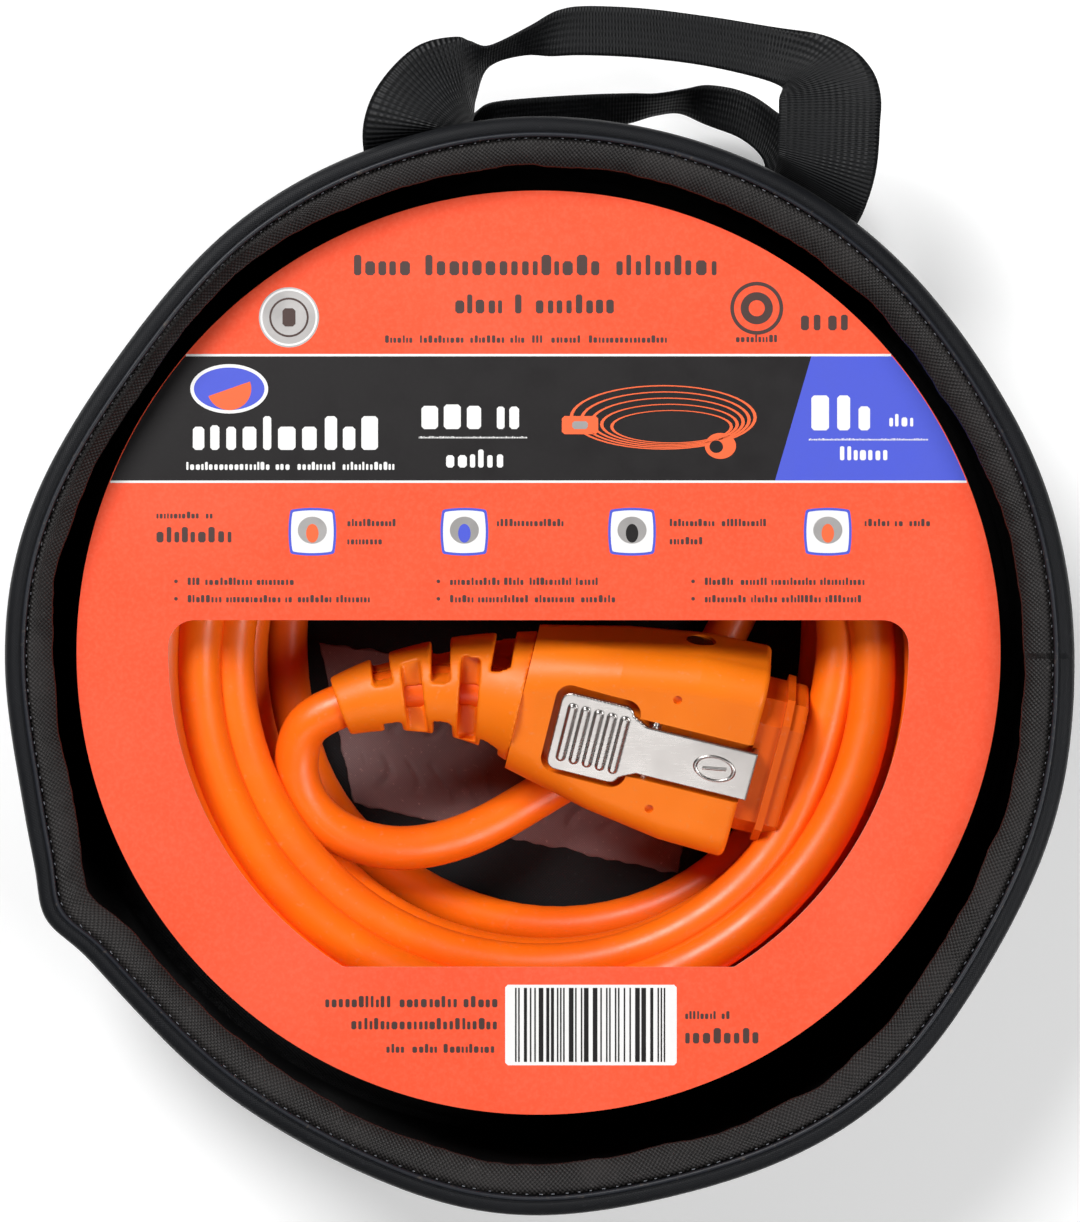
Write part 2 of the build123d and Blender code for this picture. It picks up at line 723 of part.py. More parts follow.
# ---- the plug: gland nut, seal, shell, contact carrier, blades and threaded ring ----
shell_end = nut_length + shell_length
face_t = shell_end + carrier_thickness / 2


def ring_of(profile):
    """Revolve a closed outline of (distance forward, radius) points about the plug's axis."""
    with BuildPart() as made:
        with BuildSketch(plug_profile):
            with BuildLine():
                Polyline(*profile, close=True)
            make_face()
        revolve(axis=plug_axis)
    return made


nut_r = plug_nut_dia / 2
seal_r = nut_r - nut_wall
cable_fit = cable_r + sewn_gap
seal_back = nut_back + sewn_gap
seal_front = nut_length - sewn_gap
plug_gland_nut = ring_of([(0, cable_fit), (0, nut_r - nut_chamfer), (nut_chamfer, nut_r),
                          (nut_length, nut_r), (nut_length, seal_r), (nut_back, seal_r),
                          (nut_back, cable_fit)])
finish(plug_gland_nut, "plug_gland_nut")
plug_gland_seal = ring_of([(seal_back, cable_fit), (seal_back, seal_r - sewn_gap),
                           (seal_front, seal_r - sewn_gap), (seal_front, cable_fit)])
finish(plug_gland_seal, "plug_gland_seal")

shell_r = plug_shell_dia / 2
neck_r = plug_neck_dia / 2
bore_r = shell_r - plug_wall
neck_end = nut_length + neck_length
slope_end = neck_end + neck_slope
neck_floor = nut_length + neck_end_wall
plug_shell = ring_of([(nut_length, cable_fit), (nut_length, neck_r), (neck_end, neck_r),
                      (slope_end, shell_r), (shell_end, shell_r), (shell_end, bore_r),
                      (slope_end + plug_wall, bore_r), (neck_end, neck_r - plug_wall),
                      (neck_floor, neck_r - plug_wall), (neck_floor, cable_fit)])
finish(plug_shell, "plug_shell")

blade_turns = (90, 210, 330)
with BuildPart() as plug_carrier:
    with BuildSketch(plug_plane(shell_end - carrier_thickness / 2)):
        Circle(bore_r - sewn_gap)
    extrude(amount=carrier_thickness / 2)
    with BuildSketch(plug_plane(shell_end)):
        Circle(shell_r - carrier_flange_gap)
    extrude(amount=carrier_thickness / 2)
    with BuildSketch(plug_plane(shell_end - carrier_thickness)):
        for turn in blade_turns:
            with PolarLocations(blade_circle, 1, start_angle=turn):
                Rectangle(blade_thickness + 2 * sewn_gap, blade_width + 2 * sewn_gap)
    extrude(amount=3 * carrier_thickness, mode=Mode.SUBTRACT)
finish(plug_carrier, "plug_carrier")

with BuildPart() as plug_blades:
    with BuildSketch(plug_plane(shell_end - carrier_thickness)):
        for turn in blade_turns:
            with PolarLocations(blade_circle, 1, start_angle=turn):
                Rectangle(blade_thickness, blade_width)
    extrude(amount=1.5 * carrier_thickness + blade_length)
finish(plug_blades, "plug_blades")

with BuildPart() as plug_terminal_screws:
    with BuildSketch(plug_plane(shell_end - carrier_thickness / 2 - terminal_screw_height)):
        for turn in blade_turns:
            with PolarLocations(blade_circle + 1, 1, start_angle=turn + terminal_screw_turn):
                Circle(terminal_screw_dia / 2)
    extrude(amount=terminal_screw_height)
finish(plug_terminal_screws, "plug_terminal_screws")

with BuildPart() as plug_face_seal:
    with BuildSketch(plug_plane(face_t)):
        Circle(shell_r - face_seal_set_in)
        Circle(shell_r - face_seal_set_in - face_seal_width, mode=Mode.SUBTRACT)
    extrude(amount=face_seal_thickness)
finish(plug_face_seal, "plug_face_seal")

with BuildPart() as plug_cord_clamp:
    with BuildSketch(plug_plane(neck_floor)):
        Rectangle(plug_clamp_width, plug_clamp_height)
        Circle(cable_fit, mode=Mode.SUBTRACT)
    extrude(amount=clamp_length)
finish(plug_cord_clamp, "plug_cord_clamp")

with BuildPart() as cable_in_plug:
    with BuildSketch(plug_plane(0)):
        Circle(cable_r)
    extrude(amount=nut_length + plug_sheath_length)
finish(cable_in_plug, "cable_in_plug")

with BuildPart() as plug_conductors:
    for turn in blade_turns:
        y, z = cos(radians(turn)), sin(radians(turn))
        start = Vector(plug_x - nut_length - plug_sheath_length - 0.6,
                       plug_y + conductor_spacing * y, plug_z + conductor_spacing * z)
        end = Vector(plug_x - shell_end + carrier_thickness, plug_y + blade_circle * y,
                     plug_z + blade_circle * z)
        with BuildSketch(Plane(start, z_dir=end - start)):
            Circle(conductor_dia / 2)
        extrude(amount=(end - start).length - 1.2)
finish(plug_conductors, "plug_conductors")

ring_r = shell_r + ring_wall
rib_r = ring_rib_dia / 2
with BuildPart() as plug_locking_ring:
    with BuildSketch(plug_plane(shell_end - ring_overlap)):
        Circle(ring_r - rib_r)
        with PolarLocations(ring_r - rib_r, ring_rib_count):
            Circle(rib_r)
        Circle(shell_r + running_gap, mode=Mode.SUBTRACT)
    extrude(amount=ring_length)
finish(plug_locking_ring, "plug_locking_ring")
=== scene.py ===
import math
import random

import bpy
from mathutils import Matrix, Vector, noise


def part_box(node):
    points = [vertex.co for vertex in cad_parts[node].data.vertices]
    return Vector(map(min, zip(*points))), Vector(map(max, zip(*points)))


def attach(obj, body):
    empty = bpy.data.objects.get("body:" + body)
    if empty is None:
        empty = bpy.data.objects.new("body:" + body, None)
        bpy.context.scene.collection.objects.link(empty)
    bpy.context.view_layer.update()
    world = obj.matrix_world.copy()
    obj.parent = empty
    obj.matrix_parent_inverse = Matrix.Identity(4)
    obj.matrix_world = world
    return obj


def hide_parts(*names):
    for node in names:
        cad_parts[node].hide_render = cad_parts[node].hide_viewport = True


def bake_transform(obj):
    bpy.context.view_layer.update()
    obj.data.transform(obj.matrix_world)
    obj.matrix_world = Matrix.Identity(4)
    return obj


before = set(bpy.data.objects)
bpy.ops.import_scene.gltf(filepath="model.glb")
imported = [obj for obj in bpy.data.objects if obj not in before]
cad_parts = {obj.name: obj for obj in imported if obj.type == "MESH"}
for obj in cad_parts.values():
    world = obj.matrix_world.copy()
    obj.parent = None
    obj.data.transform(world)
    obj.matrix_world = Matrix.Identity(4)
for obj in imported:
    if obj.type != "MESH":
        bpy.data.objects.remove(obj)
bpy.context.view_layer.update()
mm = 0.001

# ---- Camera, floor and light ----
# The bag lies on its back on a plain pale floor and is seen from straight above, by a lens
# far enough away to flatten it, under one broad soft light with two weaker ones beside it.
lens_height = 1400 * mm
camera_data = bpy.data.cameras.new("camera")
camera_data.sensor_fit = "VERTICAL"
camera_data.sensor_height = 36
camera_data.lens = 100.3
camera = bpy.data.objects.new("camera", camera_data)
camera.location = (0.6 * mm, 16 * mm, lens_height)
bpy.context.collection.objects.link(camera)
bpy.context.scene.camera = camera
bpy.context.scene.view_settings.view_transform = "Standard"

world = bpy.data.worlds.new("studio")
world.use_nodes = True
sky = world.node_tree.nodes["Background"]
compass = world.node_tree.nodes.new("ShaderNodeTexCoord")
height = world.node_tree.nodes.new("ShaderNodeSeparateXYZ")
dimmed = world.node_tree.nodes.new("ShaderNodeMapRange")
dimmed.inputs["From Min"].default_value = 0.15
dimmed.inputs["To Min"].default_value = 0.3
dimmed.inputs["To Max"].default_value = 0.95
world.node_tree.links.new(compass.outputs["Generated"], height.inputs[0])
world.node_tree.links.new(height.outputs["Z"], dimmed.inputs["Value"])
world.node_tree.links.new(dimmed.outputs[0], sky.inputs["Strength"])
bpy.context.scene.world = world


def soft_light(name, place, aim, size, watts):
    lamp = bpy.data.lights.new(name, "AREA")
    lamp.shape = "DISK"
    lamp.size = size
    lamp.energy = watts
    holder = bpy.data.objects.new(name, lamp)
    holder.location = place
    holder.rotation_euler = (Vector(aim) - Vector(place)).to_track_quat("-Z", "Y").to_euler()
    bpy.context.collection.objects.link(holder)


soft_light("key", (-0.75, 1.05, 1.6), (0, 0, 0), 0.9, 41)
soft_light("fill", (1.2, -0.5, 1.4), (0, 0, 0), 1.0, 19)
soft_light("back", (-0.4, -1.5, 1.5), (0, 0, 0), 1.0, 5)


# ---- The cable ----
# One length of 10/3 cable, 17.5 mm thick in an orange vinyl jacket: out of the connector's
# boot, round a loose loop, under the connector, round the inside of the coil, through fifteen
# stacked turns laid by hand, and into the plug that lies in the middle under the card.
class Wire:
    """A shader socket that can be used in sums."""

    def __init__(self, finish, socket):
        self.finish = finish
        self.socket = socket

    def sum(self, operation, first, second=0.0):
        return self.finish.node("ShaderNodeMath", {"operation": operation}, {0: first, 1: second})

    def __add__(self, other):
        return self.sum("ADD", self, other)

    def __sub__(self, other):
        return self.sum("SUBTRACT", self, other)

    def __mul__(self, other):
        return self.sum("MULTIPLY", self, other)

    def __getitem__(self, output):
        return Wire(self.finish, self.socket.node.outputs[output])

    __radd__ = __add__
    __rmul__ = __mul__


class Finish:
    """A material and its Principled shader, with fixed values set on the shader itself."""

    def __init__(self, name, **fixed):
        self.material = bpy.data.materials.new(name)
        self.material.use_nodes = True
        self.tree = self.material.node_tree
        self.shader = self.tree.nodes["Principled BSDF"]
        for socket, value in fixed.items():
            self.shader.inputs[socket.replace("_", " ")].default_value = value

    def node(self, kind, settings=None, inputs=None):
        made = self.tree.nodes.new(kind)
        for name, value in (settings or {}).items():
            setattr(made, name, value)
        for socket, value in (inputs or {}).items():
            self.join(value, made.inputs[socket])
        return Wire(self, made.outputs[0])

    def join(self, value, socket):
        if isinstance(value, Wire):
            self.tree.links.new(value.socket, socket)
        elif isinstance(value, tuple) and len(value) == 3 and socket.type == "RGBA":
            socket.default_value = (*value, 1)
        else:
            socket.default_value = value

    def feed(self, name, value):
        self.join(value, self.shader.inputs[name])
        return self

    def place(self):
        return self.node("ShaderNodeTexCoord")["Object"]

    def cloth(self):
        return self.node("ShaderNodeAttribute", {"attribute_name": "cloth"})["Vector"]

    def parts(self, vector):
        split = self.node("ShaderNodeSeparateXYZ", None, {0: vector})
        return split["X"], split["Y"], split["Z"]

    def specks(self, scale, detail=2.0, rough=0.5, vector=None):
        return self.node("ShaderNodeTexNoise", None, {
            "Vector": vector or self.place(), "Scale": scale, "Detail": detail, "Roughness": rough})

    def ramp(self, value, low, high):
        return self.node("ShaderNodeMapRange", {"clamp": True}, {
            "Value": value, "From Min": low, "From Max": high})

    def mix(self, factor, first, second):
        mixed = self.node("ShaderNodeMix", {"data_type": "RGBA"}, {0: factor, 6: first, 7: second})
        return mixed[2]

    def bump(self, height, distance, strength=1.0):
        relief = self.node("ShaderNodeBump", None, {
            "Height": height, "Distance": distance, "Strength": strength})
        return self.feed("Normal", relief)


def moulded(name, colour, shade, gloss, grain=900, relief=0.00004, **fixed):
    """Moulded plastic: slight cloudiness in the colour, fine grain, and rubbed duller patches."""
    made = Finish(name, **fixed)
    cloud = made.ramp(made.specks(22, 3), 0.35, 0.7)
    rub = made.ramp(made.specks(95, 4, 0.6), 0.45, 0.75)
    dust = made.ramp(made.specks(420, 2), 0.62, 0.8)
    tint = made.mix(cloud * 0.55, colour, shade)
    made.feed("Base Color", made.mix(dust * 0.12, tint, (0.55, 0.42, 0.3)))
    made.feed("Roughness", gloss + 0.10 * rub + 0.06 * cloud)
    made.bump(made.specks(grain, 2) + 0.6 * made.specks(160, 3), relief, 0.55)
    return made.material


cable_orange = moulded("cable_orange", (1.0, 0.175, 0.004), (0.9, 0.105, 0.004), 0.32, 700, 0.00005,
                       Specular_IOR_Level=0.45)

cable_dia = 17.5
boot_exit = (-78.18, -21.62, 55.0)
boot_ahead = (-89.44, -25.76, 55.0)
floor_cloth, backing_room = 2.5, 0.3
low = floor_cloth + backing_room + cable_dia / 2

# out of the boot, round the loose loop, down under the connector and once round the floor
to_coil = [
    boot_exit, boot_ahead,
    (-95.5, -36, 51), (-96.5, -51, 48), (-89, -66, 45), (-74, -76, 42), (-52, -80, 38), (-26, -74, 31),
    (1, -58.5, 20), (34, -39, 12), (62, -16, low), (81.5, 14, low),
    (90, 46, low), (80.5, 78, low), (55.5, 101.5, low),
    (22, 112, low), (-34, 114, low), (-75, 86, low),
    (-99, 48, low), (-105, -6, low), (-92, -61, low),
    (-51, -100, low), (5, -117, low), (62, -103, low),
    (103, -62, low), (117, -6, low), (114, 46, low), (92, 94, low),
]
# down from the last turn into the plug's gland
to_plug = [(123, 11, 58), (106, 38, 45), (77, 54, 32), (46, 54, 32)]

# each turn: radius, height, and how far its middle lies east and north
turns = [
    (136, 11.6, 2, -3), (153.5, 11.6, 3, -4), (171, 11.6, 3, -4),
    (173, 29, 3, -4), (156, 29, 2, -4), (139, 29, 2, -4), (122.5, 29.5, 2, -4),
    (139.5, 46.5, 2, -4), (156, 46.5, 3, -4), (172, 46.5, 3, -4),
    (170, 64, 3, -4), (160, 80.2, 3, -4), (153.5, 63.5, 2, -4),
    (135.2, 64, -1, -4.5), (122, 56, -0.5, -4.5),
]
lowest_turn = (131, 11.6, 0, 0)
steps = 16
first_angle = 60
wander_out, wander_up = 1.6, 0.8
random.seed(7)


def turn_place(step):
    """A point of the coil, with each turn easing into its place while it is under the card."""
    lap, part = divmod(step, steps)
    angle = math.radians(first_angle + part * 360 / steps)
    now = turns[lap]
    before = turns[lap - 1] if lap else lowest_turn
    ease = min(1.0, part / 4.0)
    ease = ease * ease * (3 - 2 * ease)
    r, z, east, north = (a + (b - a) * ease for a, b in zip(before, now))
    loose = noise.noise(Vector((math.cos(angle) * 1.6, math.sin(angle) * 1.6, lap * 3.1)))
    r += wander_out * loose
    return (east + r * math.cos(angle), north + r * math.sin(angle), z + wander_up * loose)


coil_steps = len(turns) * steps - 3
route = to_coil + [turn_place(step) for step in range(coil_steps)] + to_plug
cable_data = bpy.data.curves.new("cable", "CURVE")
cable_data.dimensions = "3D"
cable_data.bevel_depth = cable_dia / 2 * mm
cable_data.bevel_resolution = 8
cable_data.resolution_u = 6
cable_data.use_fill_caps = True
spline = cable_data.splines.new("NURBS")
spline.points.add(len(route) - 1)
for point, place in zip(spline.points, route):
    point.co = (place[0] * mm, place[1] * mm, place[2] * mm, 1)
spline.order_u = 3
spline.use_endpoint_u = True
cable = bpy.data.objects.new("power_cable", cable_data)
cable_data.materials.append(cable_orange)
bpy.context.collection.objects.link(cable)
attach(cable, "cordset")
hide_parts("cable_coil", "cable_to_connector", "cable_to_plug")


def paint(finish, *names):
    """Give CAD pieces their finish."""
    for name in names:
        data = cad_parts[name]
        for held in data.material_slots:
            held.link = "OBJECT"
            held.material = finish
        if not data.material_slots:
            data.data.materials.append(finish)


paint(cable_orange, "cable_in_connector", "cable_in_plug")

# ---- The connector ----
# The female end: a yellow-orange nylon shell with a darker nose insert that goes into the
# vehicle's inlet, and a slotted bend relief moulded on at the back.
shell_orange = moulded("shell_orange", (0.9, 0.195, 0.005), (0.78, 0.145, 0.004), 0.38, 1100, 0.00003,
                       Specular_IOR_Level=0.28)
nose_orange = moulded("nose_orange", (0.68, 0.1, 0.003), (0.56, 0.07, 0.003), 0.38, 1100, 0.00003,
                      Specular_IOR_Level=0.2)
paint(shell_orange, "connector_shell", "plug_gland_nut", "plug_shell", "plug_locking_ring")


def softened(name, node, voxel, passes, finish, body):
    """The moulded piece as it leaves its tool: the same form, with every edge eased."""
    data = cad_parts[node].data.copy()
    piece = bpy.data.objects.new(name, data)
    bpy.context.collection.objects.link(piece)
    skin = piece.modifiers.new("skin", "REMESH")
    skin.mode = "VOXEL"
    skin.voxel_size = voxel * mm
    skin.use_smooth_shade = True
    ease = piece.modifiers.new("ease", "SMOOTH")
    ease.iterations = passes
    ease.factor = 0.5
    view = bpy.context.evaluated_depsgraph_get()
    made = bpy.data.meshes.new_from_object(piece.evaluated_get(view))
    piece.modifiers.clear()
    piece.data = made
    made.materials.clear()
    made.materials.append(finish)
    made.polygons.foreach_set("use_smooth", [True] * len(made.polygons))
    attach(piece, body)
    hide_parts(node)
    return piece


softened("boot_moulding", "connector_boot", 0.7, 5, shell_orange, "cordset")
paint(nose_orange, "connector_nose", "connector_cord_clamp", "plug_carrier", "plug_cord_clamp")

# ---- The levers and the other metal ----
# Two pressed stainless levers, brushed along their length, with embossed grip ribs; plain
# steel pins, springs and screws; contacts and blades of tinned brass.
connector_turn = math.radians(13.8)
steel_bright = Finish("lever_steel", Metallic=1.0)
along = steel_bright.node("ShaderNodeMapping", None, {
    "Vector": steel_bright.place(), "Rotation": (0, 0, connector_turn), "Scale": (45, 2400, 2400)})
brushed = steel_bright.specks(1.0, 3, 0.6, along)
smears = steel_bright.ramp(steel_bright.specks(45, 3), 0.35, 0.8)
steel_bright.feed("Base Color", steel_bright.mix(smears * 0.3, (0.56, 0.53, 0.51), (0.46, 0.42, 0.4)))
steel_bright.feed("Roughness", 0.22 + 0.1 * brushed + 0.06 * smears)
steel_bright.bump(brushed, 0.000004, 0.4)
paint(steel_bright.material, "lower_lever")
softened("lever_pressing", "upper_lever", 0.32, 7, steel_bright.material, "upper_lever")


def metal(name, colour, dull, gloss):
    made = Finish(name, Metallic=1.0)
    stain = made.ramp(made.specks(300, 4, 0.6), 0.4, 0.7)
    made.feed("Base Color", made.mix(stain, colour, dull))
    made.feed("Roughness", gloss + 0.2 * stain)
    made.bump(made.specks(1500, 2), 0.00002, 0.4)
    return made.material


paint(metal("plain_steel", (0.6, 0.6, 0.6), (0.4, 0.39, 0.38), 0.3), "upper_lever_pin", "lower_lever_pin",
      "upper_lever_spring", "lower_lever_spring", "connector_clamp_screws", "contact_screws",
      "plug_terminal_screws")
paint(metal("contact_brass", (0.78, 0.6, 0.32), (0.5, 0.36, 0.18), 0.26),
      "connector_contacts", "plug_blades")

# ---- The small dark pieces ----
# Rubber seals, the red lens over the power light, and the insulated conductors. The lens's red is
# darkened as painted shade for the card's shadow over it. The nose's own gasket is moulded in the nose's
# orange.
rubber = moulded("seal_rubber", (0.02, 0.02, 0.021), (0.035, 0.034, 0.034), 0.55, 900)
paint(rubber, "plug_gland_seal", "plug_face_seal")
paint(nose_orange, "nose_gasket")
# painted shade: the lens's red is darkened to stand for the card's shadow falling on it
paint(moulded("lens_red_painted_shade", (0.10, 0.022, 0.008), (0.16, 0.03, 0.01), 0.12, 500, 0.00001, Coat_Weight=0.4),
      "indicator_lens")
paint(moulded("conductor_skin", (0.03, 0.03, 0.032), (0.05, 0.05, 0.05), 0.3), "connector_conductors",
      "plug_conductors")


# ---- The bag's wall and floor ----
# Black coated polyester cloth: a round floor and one long wall strip, sewn together inside
# out so that the seams show inside, which leaves the wall soft, with shallow folds.
def build(name, points, faces, material, body, cloth=None, smooth=True):
    """Make a mesh piece from points in millimetres."""
    data = bpy.data.meshes.new(name)
    data.from_pydata([tuple(c * mm for c in p) for p in points], [], faces)
    if cloth:
        marks = data.attributes.new("cloth", "FLOAT_VECTOR", "POINT")
        for mark, value in zip(marks.data, cloth):
            mark.vector = (value[0] * mm, value[1] * mm, 0)
    data.materials.append(material)
    data.update()
    data.polygons.foreach_set("use_smooth", [smooth] * len(data.polygons))
    piece = bpy.data.objects.new(name, data)
    bpy.context.collection.objects.link(piece)
    if body:
        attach(piece, body)
    return piece


def lattice(rows, columns, close_rows=False, close_columns=False):
    """Faces over rows of points, each row holding as many points."""
    faces = []
    for i in range(rows if close_rows else rows - 1):
        for j in range(columns if close_columns else columns - 1):
            a, b = i * columns, ((i + 1) % rows) * columns
            k = (j + 1) % columns
            faces.append((a + j, a + k, b + k, b + j))
    return faces


def bell(angle, centre, spread):
    away = (angle - centre + 180) % 360 - 180
    return math.exp(-(away / spread) ** 2)


# where the rim hangs out from a true circle: how far, at which angle, and how wide a stretch
slack_places = [
    (4.5, 208.3, 3.6), (4.5, 206, 9), (-0.9, 224, 8), (3.4, 262, 34), (5.0, 266, 14),
    (10.5, 303, 26), (2.2, 342, 14), (-1.0, 330, 30), (-3.0, 38, 16), (-8.6, 143, 25),
]
bag_height = 110


def outline(angle, height):
    """How far the hand-sewn wall strays from a true circle, in millimetres."""
    rise = height / bag_height
    slack = sum(reach * bell(angle, centre, spread) for reach, centre, spread in slack_places)
    a = math.radians(angle)
    ripple = noise.noise(Vector((math.cos(a) * 2.2, math.sin(a) * 2.2, rise * 1.1)))
    return slack * rise + 1.3 * ripple * (0.4 + rise)


def fold(angle, height):
    """Soft folds of the wall, deepest where it was creased in the packing."""
    a = math.radians(angle)
    creased = 0.4 + bell(angle, 225, 30) + 0.7 * bell(angle, 340, 25) + 0.4 * bell(angle, 150, 20)
    wave = noise.noise(Vector((math.cos(a) * 7, math.sin(a) * 7, height / 60)))
    return 3.2 * creased * wave


def woven(name, colour, shade, pitch, gloss, relief, sheen):
    """Plain-woven cloth, its threads running along and across the piece."""
    made = Finish(name, Sheen_Weight=sheen, Sheen_Roughness=0.4, Specular_IOR_Level=0.2)
    u, v, _ = made.parts(made.cloth())
    turn = 2 * math.pi / (pitch * mm)
    thread = made.node("ShaderNodeMath", {"operation": "SINE"}, {0: u * turn})
    thread = thread * made.node("ShaderNodeMath", {"operation": "SINE"}, {0: v * turn})
    worn = made.ramp(made.specks(40, 4, 0.6), 0.42, 0.72)
    lint = made.ramp(made.specks(700, 2), 0.66, 0.78)
    lit = made.ramp(thread, -0.6, 1.0)
    tint = made.mix(lit * 0.7 + 0.3 * worn, shade, colour)
    made.feed("Base Color", made.mix(lint * 0.25, tint, tuple(min(1, 3 * c + 0.02) for c in colour)))
    made.feed("Roughness", gloss + 0.12 * worn - 0.05 * lit)
    made.bump(thread * 0.5 + 0.5 * made.specks(500, 2), relief * mm, 0.8)
    return made.material


bag_cloth = woven("bag_cloth", (0.008, 0.008, 0.009), (0.002, 0.002, 0.0025), 1.3, 0.55, 0.12, 0.02)
profile = [(0, 0), (70, 0), (140, 0), (180, 0), (191, 0.1), (195.5, 0.9), (197.5, 3.0)]
profile += [(200.6, 6.5), (200.8, 12)] + [(200.8, 12 + 9 * i) for i in range(1, 10)]
profile += [(200.4, 100), (200, 104), (198, 104.5), (197.6, 100)]
profile += [(197.6, 96 - 9 * i) for i in range(0, 9)] + [(197.6, 14), (196.8, 7)]
profile += [(194.5, 3.2), (191, 2.1), (180, 2), (150, 2), (110, 2), (70, 2), (30, 2), (0, 2)]
around = 288
wall_from = 196
points, cloth = [], []
for j in range(around):
    angle = 360 * j / around
    a = math.radians(angle)
    for r, z in profile:
        on_wall = r > wall_from
        out = outline(angle, z) if r > 180 else 0
        if on_wall and 8 < z < 100:
            out += fold(angle, z) * min(1, (z - 6) / 20) * min(1, (102 - z) / 20)
        r += out
        points.append((r * math.cos(a), r * math.sin(a), z))
        if on_wall:
            cloth.append((a * 200, z))
        else:
            cloth.append((r * math.cos(a), r * math.sin(a)))
bag = build("bag_shell", points, lattice(around, len(profile), close_rows=True), bag_cloth, "bag",
            cloth)
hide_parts("bag_floor", "bag_wall")


# ---- Piping, hoop and seam tape ----
# A sprung wire hoop in a bound twill tube keeps the mouth round. A glossy welt edges it, and a
# coarse seam tape covers the raw seam inside the rim. A second piping runs round the floor.
def ring(name, section, material, body="bag", stray=1.0, waver=None):
    """A closed band round the bag: a section of (radius, height) points carried round the outline."""
    points, cloth = [], []
    for j in range(2 * around):
        angle = 180 * j / around
        a = math.radians(angle)
        run = 0
        for k, (r, z) in enumerate(section):
            if k:
                run += math.dist(section[k], section[k - 1])
            out = stray * outline(angle, z)
            if waver:
                dr, dz = waver(angle, k)
                out, z = out + dr, z + dz
            points.append(((r + out) * math.cos(a), (r + out) * math.sin(a), z))
            cloth.append((a * 200, run))
    return build(name, points, lattice(2 * around, len(section), True, True), material, body, cloth)


def round_section(r, z, radius, count):
    turns_round = [2 * math.pi * i / count for i in range(count)]
    return [(r + radius * math.cos(a), z + radius * math.sin(a)) for a in turns_round]


twill = woven("rim_twill", (0.009, 0.0095, 0.012), (0.002, 0.0025, 0.0035), 1.1, 0.55, 0.1, 0.01)
rim = ring("rim_binding", [(196.2, 108.6), (195.6, 106.5), (196.2, 103.6), (199, 102.2), (202.0, 101.5),
                           (203.6, 103.5), (203.8, 106.5), (202.6, 109.2), (200.4, 110.4), (198.2, 110.2)],
           twill)
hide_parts("rim_piping")
hoop = ring("sprung_hoop", round_section(199.3, 106.2, 1.5, 10),
            metal("hoop_wire", (0.5, 0.5, 0.52), (0.3, 0.3, 0.3), 0.3))
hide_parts("rim_hoop")
welt_skin = moulded("welt_skin", (0.01, 0.0115, 0.016), (0.016, 0.018, 0.024), 0.42, 300, 0.0001,
                    Specular_IOR_Level=0.35)
ring("rim_welt", round_section(196.6, 109.3, 0.95, 8), welt_skin)
tape_cloth = woven("tape_cloth", (0.04, 0.036, 0.035), (0.003, 0.0026, 0.0026), 1.75, 0.5, 0.3, 0.02)


def tape_waver(angle, k):
    a = math.radians(angle)
    edge = 1.0 if k in (2, 3, 4, 5) else 0.15
    narrow = 4.8 * bell(angle, 143, 32) * edge
    wave = noise.noise(Vector((math.cos(a) * 9, math.sin(a) * 9, 4.2)))
    pucker = noise.noise(Vector((math.cos(a) * 42, math.sin(a) * 42, 1.7)))
    return narrow + edge * (1.3 * wave + 0.35 * pucker), edge * (0.8 * wave + 0.5 * pucker) + 0.25 * pucker


tape = ring("seam_tape", [(196.2, 107.6), (193.0, 107.9), (189.2, 106.8), (185.2, 105.0), (184.8, 104.2),
                          (189.2, 105.3), (193.0, 106.3), (196.2, 106.0)], tape_cloth,
            waver=tape_waver)
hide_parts("rim_tape")
floor_bead = ring("floor_binding", round_section(199.2, 3.1, 3.0, 12), twill, stray=0.5)
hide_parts("floor_piping")

# Painted highlight: the stitches are coloured a pale grey-blue to show the bright glints along the stitch
# line.
stitch_painted_glint = moulded("stitch_painted_glint", (0.17, 0.18, 0.2), (0.06, 0.065, 0.08), 0.5, 1500)
points, faces = [], []
stitch_count = 260
stitch_radius, stitch_height = 195.3, 108.55
for j in range(stitch_count):
    angle = 360 * (j + 0.3 * random.random()) / stitch_count
    a = math.radians(angle)
    r = stitch_radius + outline(angle, 108)
    half = (0.35 + 0.35 * random.random()) / 200
    base = len(points)
    for end in (-half, half):
        for dr, dz in ((-0.22, 0), (0, 0.28), (0.22, 0), (0, -0.25)):
            points.append(((r + dr) * math.cos(a + end), (r + dr) * math.sin(a + end), stitch_height + dz))
    for i in range(4):
        k = (i + 1) % 4
        faces.append((base + i, base + k, base + 4 + k, base + 4 + i))
    faces.append((base + 3, base + 2, base + 1, base))
    faces.append((base + 4, base + 5, base + 6, base + 7))
build("rim_stitches", points, faces, stitch_painted_glint, "bag")

# ---- The oval stamped in the lever's tongue ----
# A plain raised oval with a bar across it, pressed into the steel near the hooked end. Its
# directions are the connector's own, turned on the bag's floor and rolled about its length.
lever_ahead = Vector((math.cos(-connector_turn), math.sin(-connector_turn), 0))
lever_side = Vector((-lever_ahead.y, lever_ahead.x, 0))
roll = math.radians(20)
lever_across = lever_side * math.cos(roll) + Vector((0, 0, math.sin(roll)))
lever_out = lever_side * -math.sin(roll) + Vector((0, 0, math.cos(roll)))
connector_middle = Vector((49.0, -31.2, 55.0))
stamp_middle = connector_middle + lever_ahead * 22 + lever_out * 26.25
oval_steps, oval_sides = 48, 6
oval_long, oval_wide = 7.6, 4.9
points = []
for k in range(oval_steps):
    a = 2 * math.pi * k / oval_steps
    for j in range(oval_sides):
        b = math.pi * j / (oval_sides - 1)
        reach = 1 + 0.11 * math.cos(b)
        place = stamp_middle + lever_ahead * (oval_long * reach * math.cos(a))
        place += lever_across * (oval_wide * reach * math.sin(a)) + lever_out * (0.55 * math.sin(b))
        points.append(tuple(place))
